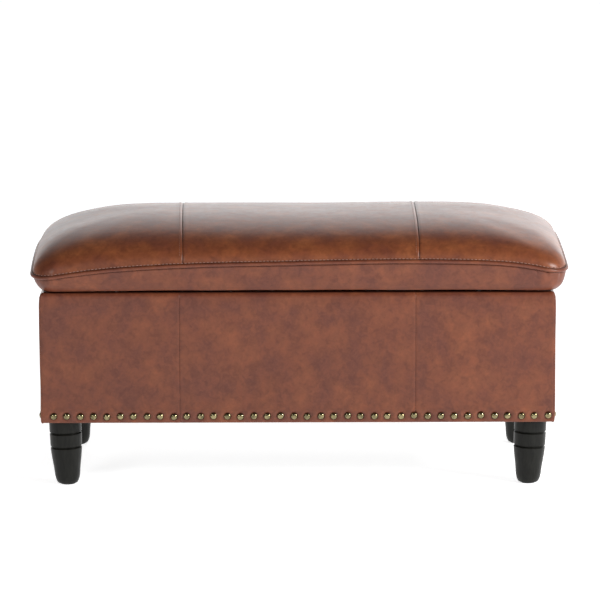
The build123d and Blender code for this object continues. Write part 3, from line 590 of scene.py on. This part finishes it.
def crown_point(x, y, inset=0.0):
    """A point on the crown's leather above a plan position."""
    share = crown_share(x, y)
    ex, ey = edge_point(x, y)
    if share < crown_middle:
        ex, ey = x, face_half_y
    base = pipe_z(ex, ey) + crown_foot
    qx = max(abs(x) - (face_half_x - face_half_y), 0.0)
    endward = qx * qx / (qx * qx + y * y + 1e-9)
    power = crown_depth_power + (crown_end_power - crown_depth_power) * endward
    rise = (1 - share**power) ** (1 / power)
    swell = -crown_swell * cos(pi * x / seam_x) * (1 - share**4)
    undulate = soft((x, y, 0), *crown_waves) * (1 - share**3)
    top = crown_top - crown_drop + swell + undulate
    return x, y, base + (top - base) * rise - inset


def edge_x(y):
    """How far the crown reaches along X at this Y."""
    past = abs(y) - (face_half_y - face_corner_radius)
    if past <= 0:
        return face_half_x
    return face_half_x - face_corner_radius + sqrt(max(face_corner_radius**2 - past * past, 0.0))


def crown_seam(side, y):
    """Where the left (-1) or right (1) crown seam lies along X at this Y."""
    skew = left_seam_skew * (y + face_half_y) / (2 * face_half_y) if side < 0 else 0.0
    return crown_seams[side] + side * skew


def seam_groove(distance):
    """Depth of a sewn seam's groove at this distance from the seam."""
    line = seam_line_depth * exp(-distance / seam_line_width)
    roll = seam_roll_height * exp(-(((distance - seam_roll_place) / seam_roll_width) ** 2))
    return line - roll


def pucker(x, y, height, corner_depth):
    """Small gathers in the leather close to the piping, deepest near the corners."""
    ex, ey = edge_point(x, y)
    away = (face_half_x - abs(ex)) + (face_half_y - abs(ey))
    amount = pucker_depth + corner_depth * exp(-((away / pucker_corner_reach) ** 2))
    return soft((ex, ey, 0.0), pucker_size, amount, 11.0) * exp(-height / pucker_fade)


def make_crown_panel(name, side):
    """One leather piece of the crown: between its seams (side 0), or out to an end (-1 or 1)."""
    rows = graded(2 * face_half_y, *crown_rows)
    steps = graded(1.0, *(crown_end_steps if side else crown_middle_steps))
    points = []
    for row in rows:
        y = row - face_half_y
        left, right = crown_seam(-1, y), crown_seam(1, y)
        near = right if side > 0 else left
        far = side * edge_x(y) if side else right
        for step in steps:
            x = near + (far - near) * step
            px, py, pz = crown_point(x, y)
            ex, ey = edge_point(x, y)
            above = max(pz - pipe_z(ex, ey), 0.0)
            gap = min(abs(x - left), abs(x - right))
            deep = smooth_step((above + crown_seam_start) / crown_seam_rise)
            sink = seam_groove(gap) * deep if gap < seam_reach else 0.0
            tilt = smooth_step((min(edge_share(x, y), 1.0) - crown_turn) / (1 - crown_turn))
            toward = Vector((x / face_half_x if abs(ey) < face_half_y - MM else 0.0, y / face_half_y, 0))
            toward.normalize()
            push = pucker(x, y, above, crown_pucker) - sink
            pz += push * (1 - tilt)
            px += toward.x * push * tilt
            py += toward.y * push * tilt
            points.append((px, py, pz))
    faces = grid_faces(len(rows), len(steps), flip=(side < 0))
    replaced = (f"lid_cover_{name}",)
    return add_piece(
        f"crown_{name}", points, faces, "lid", lit_crown_leather, replaced, leather_t
    )


CROWN_PANELS = (("left", -1, (0.285, 0.56)), ("centre", 0, (0.435, 0.56)), ("right", 1, (0.285, 0.56)))
for name, side, cut in CROWN_PANELS:
    make_crown_panel(name, side)


def make_cushion():
    """The foam under the crown, a closed form a little inside the leather."""
    foot = 1 - cushion_foot / face_half_y
    foam_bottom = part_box("lid_board")[1].z
    shrink = 1 - cushion_inset / face_half_y
    rows = graded(2.0, *cushion_rows)
    columns = graded(2.0, *cushion_columns)
    top, bottom = [], []
    for row in rows:
        y = (row - 1) * face_half_y * shrink
        reach = edge_x(y / shrink) * (1 - cushion_inset / face_half_x)
        for column in columns:
            px, py, pz = crown_point((column - 1) * reach, y, cushion_clear)
            top.append((px, py, pz))
            bottom.append((px * foot, py * foot, foam_bottom))
    count, width = len(top), len(columns)
    faces = grid_faces(len(rows), width)
    faces += [tuple(count + v for v in quad) for quad in grid_faces(len(rows), width, flip=True)]
    rim = list(range(width))
    rim += [r * width + width - 1 for r in range(1, len(rows))]
    rim += [(len(rows) - 1) * width + c for c in range(width - 2, -1, -1)]
    rim += [r * width for r in range(len(rows) - 2, 0, -1)]
    for a, b in zip(rim, rim[1:] + rim[:1]):
        faces.append((b, a, count + a, count + b))
    cushion = add_piece(
        "lid_cushion", top + bottom, faces, "lid", materials["foam"], ("lid_foam",)
    )


make_cushion()

edge_ring = ring(face_half_x, face_half_y, face_corner_radius, ring_finest, ring_widest)


def gather(x, y, below):
    """Pinched folds under the piping, where the band is eased round a corner."""
    away = max(face_half_x - abs(x), face_half_y - abs(y))
    place = away + soft((x, y, 0.0), *gather_drift)
    fold = (0.5 + 0.5 * cos(2 * pi * place / gather_pitch)) ** 4
    near = smooth_step(2 * (1 - away / gather_reach))
    share = 1.0 if x > 0 else left_gather_share
    return gather_depth * fold * near * exp(-below / gather_fade) * share


def make_band():
    """Boxing band: bulges out under the piping, then curls under the lid's board."""
    wall, under = 34, 9
    points = []
    for i in range(wall + under):
        down = min(i / (wall - 1), 1.0)
        for x, y, (nx, ny) in edge_ring:
            corner = exp(-((face_half_x - abs(x)) + (face_half_y - abs(y))) / band_corner_reach)
            full = corner if x > 0 else 0.0
            top = pipe_z(x, y) - band_start
            bottom = lid_bottom + band_bottom - band_dip[-1 if x < 0 else 1] * corner
            bottom += soft((x, y, 0), *band_hem_waves)
            z = top + (bottom - top) * (0.4 * down + 0.6 * smooth_step(down))
            t = (top - z) / (top - bottom)
            slant = (band_slant - band_fullness * full) * t
            curl = (band_curl + band_fullness * full) * t ** (band_curl_power + band_full_power * full)
            tuck = band_tuck * exp(-(top - z) / band_tuck_depth)
            out = band_out + band_full_out * full - slant - curl - tuck
            back = 0.0
            if i < wall - 1:
                out += soft((x, y, z), *band_waves) * min(4 * t, 1.0)
                out += pucker(x, y, top - z, band_pucker) - gather(x, y, top - z)
            else:
                under_share = (i - wall + 1) / under
                out += (band_hem_out - out) * under_share
                z = bottom + (lid_bottom - bottom) * smooth_step(4 * under_share)
                back = lid_push(x, y) * under_share
            points.append((x + nx * out - back, y + ny * out, z))
    faces = grid_faces(wall + under, len(edge_ring), wrap=True, flip=True)
    band = add_piece(
        "boxing_band", points, faces, "lid", leather, ("lid_band",), leather_t
    )


def make_piping():
    """Leather-covered cord sewn into the lid's edge, bunched a little at the corners."""
    points = []
    for x, y, (nx, ny) in edge_ring:
        centre_z = pipe_z(x, y)
        away = (face_half_x - abs(x)) + (face_half_y - abs(y))
        bunch = 1 + pipe_bunch * exp(-((away / pipe_bunch_reach) ** 2))
        lumps = soft((x, y, 0), *pipe_lumps)
        for k in range(pipe_sides):
            a = 2 * pi * k / pipe_sides
            out = pipe_out + (bunch * pipe_half_width + lumps) * cos(a)
            up = (pipe_half_height + lumps) * sin(a)
            points.append((x + nx * out, y + ny * out, centre_z + up))
    rows = len(edge_ring)
    faces = grid_faces(rows, pipe_sides, wrap=True, flip=True)
    last = (rows - 1) * pipe_sides
    for k in range(pipe_sides):
        m = (k + 1) % pipe_sides
        faces.append((last + k, k, m, last + m))
    add_piece("piping", points, faces, "lid", leather, ("lid_piping",))


make_band()
make_piping()


def stitch_spots(path, pitch, length, lift):
    """Stitches along a path of (point, outward) pairs, evenly spaced by distance."""
    spots = []
    carried = 0.0
    for (a, up), (b, _) in zip(path, path[1:]):
        run = (b - a).length
        while carried < run:
            along = (b - a).normalized()
            spot = a + along * carried + up * lift
            spots.append((spot - along * length / 2, spot + along * length / 2, up))
            carried += pitch
        carried -= run
    return spots


def crown_surface_at(ex, ey, nx, ny, rise):
    """Point on the crown a little above the piping, with its outward direction."""
    base = pipe_z(ex, ey) + crown_foot
    top = crown_top - crown_drop
    power = crown_end_power if abs(nx) > abs(ny) else crown_depth_power
    share = (1 - (rise / (top - base)) ** power) ** (1 / power)
    inward = (1 - share) * face_half_y
    return Vector((ex - nx * inward, ey - ny * inward, base + rise)), Vector((nx, ny, 0.15)).normalized()


def make_stitches():
    """Topstitching above the piping and beside the crown's seams."""
    path = [crown_surface_at(x, y, nx, ny, piping_stitch_rise) for x, y, (nx, ny) in edge_ring]
    points, faces = capsule_row(stitch_spots(path, *piping_stitch), piping_thread_radius)
    add_piece("piping_stitches", points, faces, "lid", piping_thread)
    spots = []
    for side in (-1, 1):
        line = []
        for row in graded(2 * face_half_y, *seam_line_steps):
            y = row - face_half_y
            x = crown_seam(side, y) - seam_stitch_offset
            share = min(edge_share(x, y), 1.0)
            if share > 0.985:
                continue
            up = Vector((0, y / face_half_y * share**2, 1)).normalized()
            line.append((Vector(crown_point(x, y)), up))
        spots += stitch_spots(line, *seam_stitch)
    points, faces = capsule_row(spots, seam_thread_radius)
    add_piece("crown_seam_stitches", points, faces, "lid", seam_thread)


make_stitches()


# ---- Box: leather covers with seams, folds, nail dimples ----


def nail_centres(node_name, axis):
    """Where each nail of a row stands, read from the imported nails: (along, height)."""
    verts = sorted((v.co[axis], v.co.z) for v in record_nodes[node_name].data.vertices)
    groups = [[verts[0]]]
    for vert in verts[1:]:
        if vert[0] - groups[-1][-1][0] > 3 * MM:
            groups.append([])
        groups[-1].append(vert)
    centres = []
    for group in groups:
        heights = [z for _, z in group]
        centres.append(((group[0][0] + group[-1][0]) / 2, (min(heights) + max(heights)) / 2))
    return centres


WALL_DIRECTIONS = (
    ("front", (0, -1), (1, 0)),
    ("rear", (0, 1), (-1, 0)),
    ("left", (-1, 0), (0, -1)),
    ("right", (1, 0), (0, 1)),
)
WALLS = {}
for wall, out, run in WALL_DIRECTIONS:
    lengthwise = run[0] != 0
    WALLS[wall] = {
        "out": out,
        "run": run,
        "half": box_half_x if lengthwise else box_half_y,
        "depth": box_half_y if lengthwise else box_half_x,
        "nails": nail_centres(f"nails_{wall}", 0 if lengthwise else 1),
    }


def wall_profile():
    """Section of a wall's leather as (inset, height, part), from under the hem to inside the rim."""
    profile = []
    for step in graded(turn_under - 2 * hem_radius, 2 * MM, 1 * MM, 5 * MM)[:-1]:
        profile.append((turn_under - step, box_bottom, "under"))
    for i in range(hem_steps + 1):
        a = -pi / 6 + (pi / 2 + pi / 6) * i / hem_steps
        profile.append((hem_radius * (1 - sin(a)), box_bottom + hem_radius * (0.35 - cos(a)), "face"))
    low, high = box_bottom + hem_radius, rim_top - rim_radius
    for step in range(1, nail_rows + 1):
        profile.append((0.0, low + nail_zone * step / nail_rows, "face"))
    for step in graded(high - low - nail_zone, 2.5 * MM, 2.5 * MM, 7 * MM)[1:]:
        profile.append((0.0, low + nail_zone + step, "face"))
    for i in range(1, rim_steps + 1):
        a = pi / 2 * i / rim_steps
        profile.append((rim_radius * (1 - cos(a)), high + rim_radius * sin(a), "rim"))
    flat = wall_t - rim_radius - rim_inner_radius
    for step in range(1, 4):
        profile.append((rim_radius + flat * step / 4, rim_top, "rim"))
    for i in range(lip_steps + 1):
        a = pi / 2 * i / lip_steps
        inset = wall_t - rim_inner_radius * (1 - sin(a))
        profile.append((inset, rim_top - rim_inner_radius * (1 - cos(a)), "inside"))
    for step in graded(turn_down - rim_inner_radius, 2 * MM, 2 * MM, 6 * MM)[1:]:
        profile.append((wall_t, rim_top - rim_inner_radius - step, "inside"))
    return profile


PROFILE = wall_profile()


def nailing(wall, along, height):
    """How much the leather puffs between the nails here, and how much a nail presses it down."""
    facts = WALLS[wall]
    place = along * (facts["run"][0] + facts["run"][1])
    pressed = 0.0
    for nail_along, nail_height in facts["nails"]:
        if abs(nail_along - place) < nail_zone:
            reach = hypot(nail_along - place, height - nail_height)
            pressed = max(pressed, 1 - smooth_step((reach - nail_press_radius) / nail_press_edge))
    near = exp(-(((height - box_bottom - nail_puff_z) / nail_puff_reach) ** 2))
    return near, pressed


def wall_push(wall, along, height, part, seams):
    """How far a wall's leather stands out from the flat face of the measured box."""
    facts = WALLS[wall]
    if part not in ("face", "rim"):
        return 0.0
    x = facts["depth"] * facts["out"][0] + facts["run"][0] * along
    y = facts["depth"] * facts["out"][1] + facts["run"][1] * along
    face = smooth_step((rim_top - height) / face_top_fade)
    face *= smooth_step((height - box_bottom) / face_foot_fade)
    waves = soft((x, y, height), *wall_waves) + soft((x, y, height), *wall_ripples)
    near, pressed = nailing(wall, along, height)
    near *= smooth_step((facts["half"] - abs(along)) / nail_corner_fade)
    push = face * (wall_stand + waves) + nail_puff * near
    push = push * (1 - pressed) - nail_press * pressed
    for seam in seams:
        gap = abs(along - seam)
        if gap < seam_reach:
            push -= wall_seam_share * seam_groove(gap)
    return max(push, -deepest_press)


def pushed(inset, height, part, push):
    """Moves a point of the section outwards: straight out on the face, up over the rim."""
    if part != "rim":
        return inset - push, height
    turn = min(inset / rim_radius, 1.0)
    return inset - push * (1 - turn), height + push * turn


def wall_point(wall, along, inset, height, part, seams):
    """A point on a wall's leather. along runs along the wall, and seams are places along it."""
    facts = WALLS[wall]
    ox, oy = facts["out"]
    rx, ry = facts["run"]
    limit = facts["half"] - max(inset, wall_corner_radius) - corner_slack
    start = facts["half"] - wall_bend
    reach = facts["half"] - wall_corner_radius - corner_slack
    if abs(along) > start:
        squeezed = start + (abs(along) - start) * (limit - start) / (reach - start)
        along = squeezed if along > 0 else -squeezed
    inset, height = pushed(inset, height, part, wall_push(wall, along, height, part, seams))
    out = facts["depth"] - inset
    return ox * out + rx * along, oy * out + ry * along, height


def corner_points(sx, sy, inset, height, part, steps=8):
    """Points of a vertical corner, from its side wall round to its front or rear wall."""
    side, end = ("right" if sx > 0 else "left"), ("rear" if sy > 0 else "front")
    side_along = sy * WALLS[side]["run"][1] * side_end
    end_along = sx * WALLS[end]["run"][0] * front_end
    side_push = wall_push(side, side_along, height, part, ())
    end_push = wall_push(end, end_along, height, part, END_SEAMS[end])
    radius = max(wall_corner_radius - inset, 0.0) + corner_slack
    cx, cy = box_half_x - inset - radius, box_half_y - inset - radius
    points = []
    for i in range(steps + 1):
        turn = smooth_step(i / steps)
        moved, z = pushed(inset, height, part, side_push * (1 - turn) + end_push * turn)
        a = pi / 2 * i / steps
        reach = radius + inset - moved
        points.append((sx * (cx + reach * cos(a)), sy * (cy + reach * sin(a)), z))
    return points


def make_wall_cover(name, wall, start, end, seams, replaced, corners=()):
    """One leather piece of the box, as a grid along the wall and round its section."""
    columns = [start + step for step in graded(end - start, *wall_columns)]
    points = []
    for inset, height, part in PROFILE:
        row = [wall_point(wall, along, inset, height, part, seams) for along in columns]
        if corners:
            first, last = corners
            row = corner_points(*first, inset, height, part)[:0:-1] + row
            row += corner_points(*last, inset, height, part)[1:]
        points += row
    faces = grid_faces(len(PROFILE), len(points) // len(PROFILE))
    cover = add_piece(name, points, faces, "box", leather, replaced, leather_t)


front_end = box_half_x - wall_corner_radius - corner_slack
side_end = box_half_y - wall_corner_radius - corner_slack
END_SEAMS = {"front": (-seam_x, seam_x, -front_end, front_end), "rear": (-front_end, front_end)}
FRONT_CUTS = (("left", -front_end, -seam_x), ("centre", -seam_x, seam_x), ("right", seam_x, front_end))
for name, start, end in FRONT_CUTS:
    make_wall_cover(
        f"front_leather_{name}", "front", start, end, END_SEAMS["front"],
        (f"cover_front_{name}",),
    )
make_wall_cover(
    "rear_leather", "rear", -front_end, front_end, END_SEAMS["rear"],
    ("cover_rear",),
)
for name, side in (("left", -1), ("right", 1)):
    make_wall_cover(
        f"{name}_leather", name, -side_end, side_end, (),
        (f"cover_{name}_side",), ((side, -side), (side, side)),
    )


# ---- Room: floor, light, camera ----

floor_half = 12.0
floor_glow = 0.75
camera_pitch = radians(9.9)
camera_roll = radians(-0.15)
camera_distance = 7.266
camera_aim = Vector((4.7 * MM, -box_half_y, 348.2 * MM))

# Name, place, target, width, height, power
LIGHTS = (
    ("left_softbox", (-1.7, -2.4, 1.40), (0, 0, 0.3), 0.5, 0.55, 15),
    ("right_softbox", (2.5, -1.6, 1.50), (0, 0, 0.3), 0.7, 0.75, 76),
    ("back_light", (0.3, 3.2, 2.6), (0, 0, 0.4), 3.0, 1.2, 8),
)


def make_floor():
    corners = ((-1, -1), (1, -1), (1, 1), (-1, 1))
    points = [(sx * floor_half, sy * floor_half, 0) for sx, sy in corners]
    mesh = bpy.data.meshes.new("studio_floor")
    mesh.from_pydata(points, [], [(0, 1, 2, 3)])
    floor = bpy.data.objects.new("studio_floor", mesh)
    bpy.context.scene.collection.objects.link(floor)
    shader = Shader("studio_floor", 0.9)
    paper = shader.noise(300.0, 2.0)
    shader.colour(shader.ramp(paper, ((0.0, (0.93, 0.93, 0.93)), (1.0, (0.96, 0.96, 0.96)))))
    shader.bsdf.inputs["Emission Color"].default_value = (1.0, 1.0, 1.0, 1.0)
    shader.bsdf.inputs["Emission Strength"].default_value = floor_glow
    floor.data.materials.append(shader.material)


def make_world():
    """Pale room: bright near the horizon, dimmer overhead."""
    world = bpy.data.worlds.new("studio")
    world.use_nodes = True
    bpy.context.scene.world = world
    tree = world.node_tree
    background = tree.nodes["Background"]
    coords = tree.nodes.new("ShaderNodeTexCoord")
    split = tree.nodes.new("ShaderNodeSeparateXYZ")
    ramp = tree.nodes.new("ShaderNodeValToRGB")
    for element, (place, level) in zip(ramp.color_ramp.elements, ((0.16, 1.0), (0.68, 0.08))):
        element.position = place
        element.color = (level, level, level, 1)
    tree.links.new(coords.outputs["Generated"], split.inputs["Vector"])
    backward = map_range(tree, split.outputs["Y"], {"To Min": 0.82, "To Max": 2.75})
    rightward = map_range(
        tree, split.outputs["X"], {"From Min": -0.68, "From Max": 0.1, "To Min": 0.25}
    )
    strength = tree.nodes.new("ShaderNodeMath")
    strength.operation = "MULTIPLY"
    tree.links.new(split.outputs["Z"], ramp.inputs["Fac"])
    tree.links.new(backward, strength.inputs[0])
    tree.links.new(rightward, strength.inputs[1])
    tree.links.new(ramp.outputs["Color"], background.inputs["Color"])
    tree.links.new(strength.outputs["Value"], background.inputs["Strength"])


def make_light(name, place, target, width, height, power):
    data = bpy.data.lights.new(name, "AREA")
    data.shape = "RECTANGLE"
    data.size = width
    data.size_y = height
    data.energy = power
    light = bpy.data.objects.new(name, data)
    light.location = place
    light.rotation_euler = (Vector(target) - Vector(place)).to_track_quat("-Z", "Y").to_euler()
    bpy.context.scene.collection.objects.link(light)


def make_camera():
    """Long lens, a little above the bench, square to its front."""
    data = bpy.data.cameras.new("camera")
    data.sensor_width = 36.0
    data.lens = 240.0
    data.clip_end = 60.0
    camera = bpy.data.objects.new("camera", data)
    view = Vector((0, cos(camera_pitch), -sin(camera_pitch)))
    camera.location = camera_aim - camera_distance * view
    tilt = Matrix.Rotation(pi / 2 - camera_pitch, 3, "X") @ Matrix.Rotation(camera_roll, 3, "Z")
    camera.rotation_euler = tilt.to_euler()
    bpy.context.scene.collection.objects.link(camera)
    bpy.context.scene.camera = camera


make_floor()
make_world()
for light in LIGHTS:
    make_light(*light)
make_camera()
bpy.context.scene.view_settings.view_transform = "Standard"
